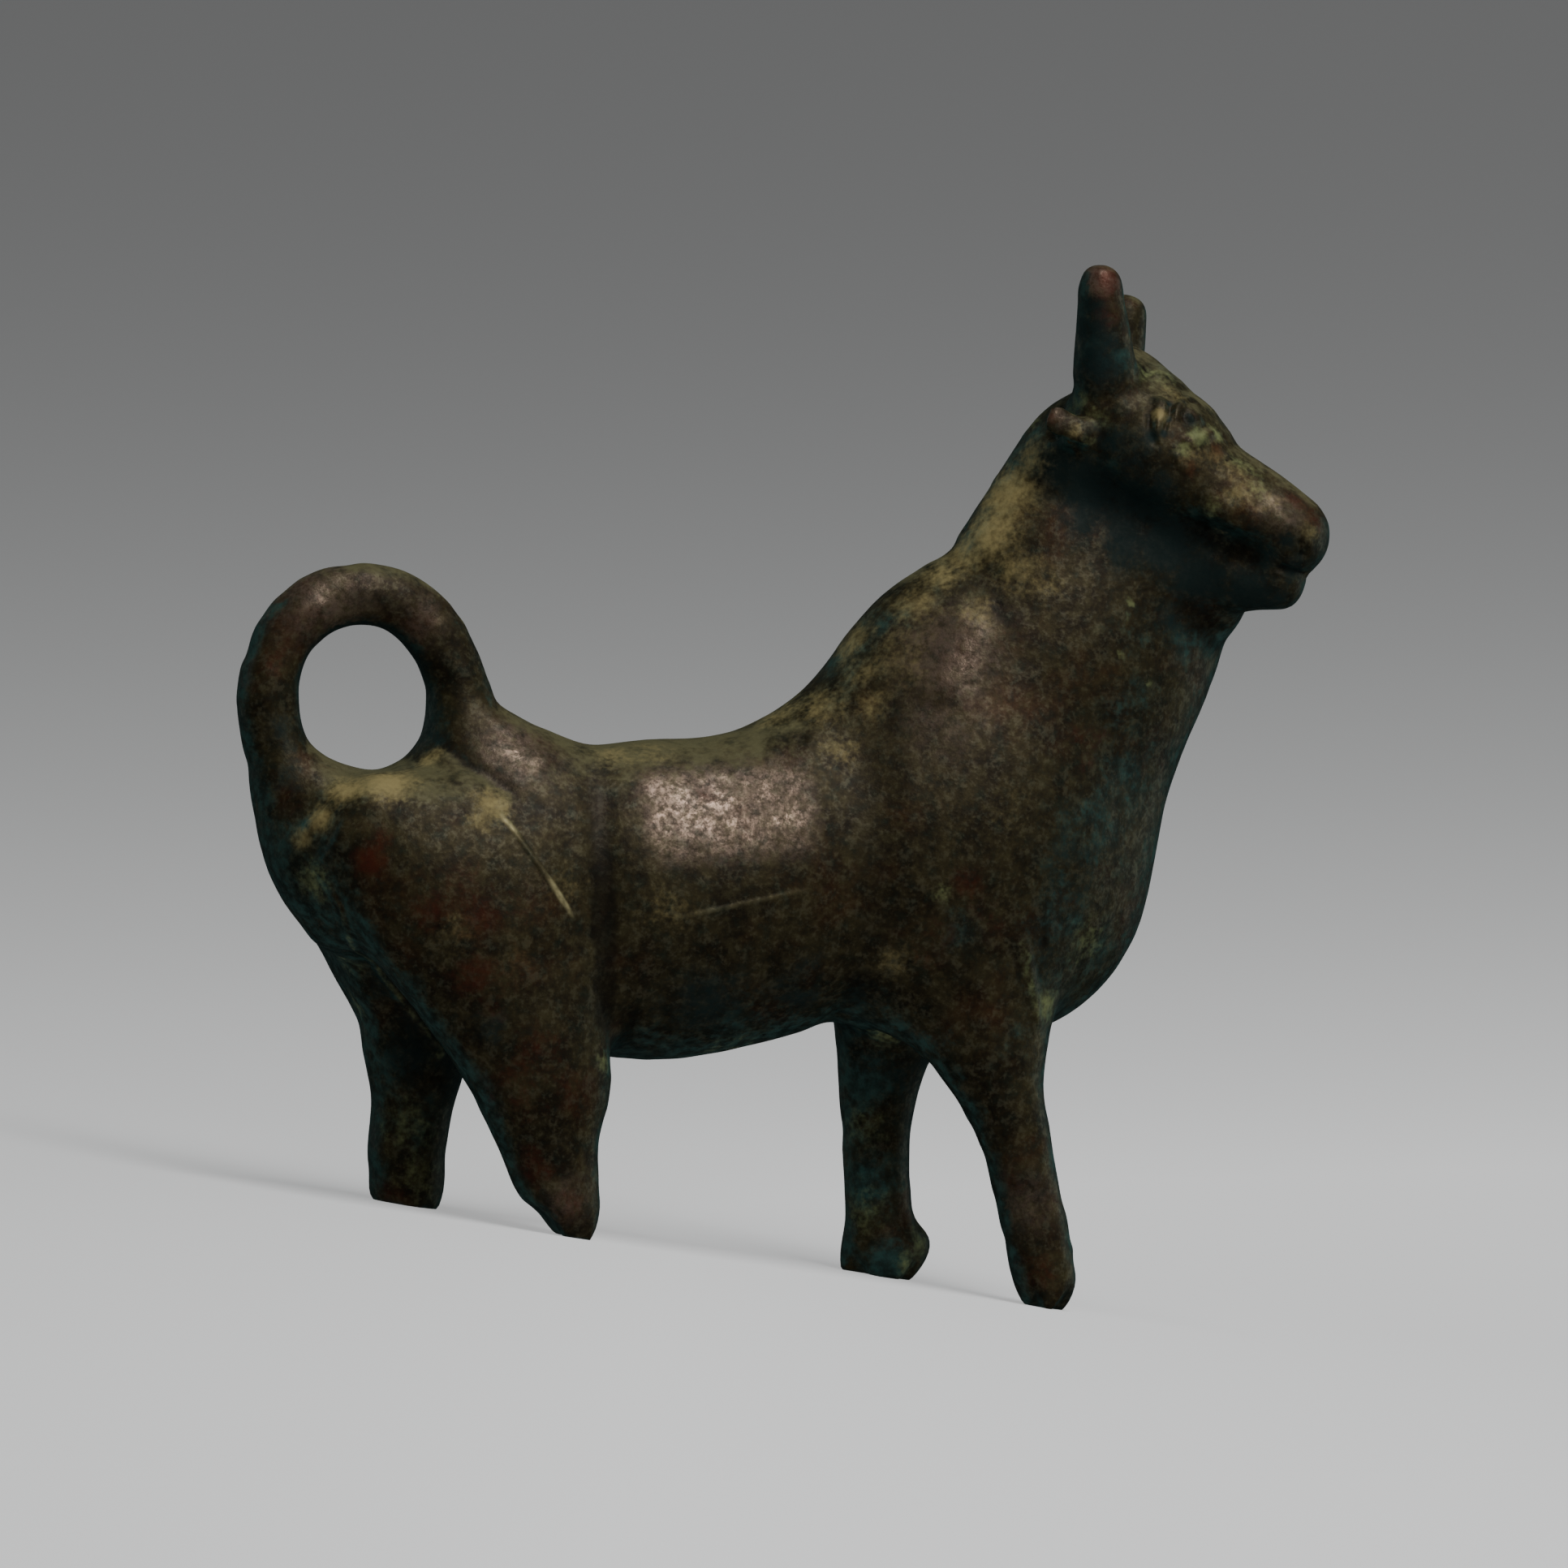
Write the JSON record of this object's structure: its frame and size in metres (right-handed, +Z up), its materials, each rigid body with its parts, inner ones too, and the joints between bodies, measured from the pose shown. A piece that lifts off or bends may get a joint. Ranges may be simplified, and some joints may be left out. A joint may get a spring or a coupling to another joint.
{
  "type": "bronze bull figurine",
  "caption": "Small solid-cast bronze bull, standing, its head turned to its right, its tail bent round into a hanging ring and its hind legs ending in worn stumps.",
  "frame": {"origin": "on the ground, under the middle of the box round the figure", "axes": "+X forward along the body, +Y to the bull's left, +Z up"},
  "size_m": [0.0542, 0.0146, 0.0531],
  "materials": {
    "bronze": "dark brown bronze with green and ochre patina, satin"
  },
  "bodies": {
    "root": {"bull": "bronze"}
  },
  "joints": []
}
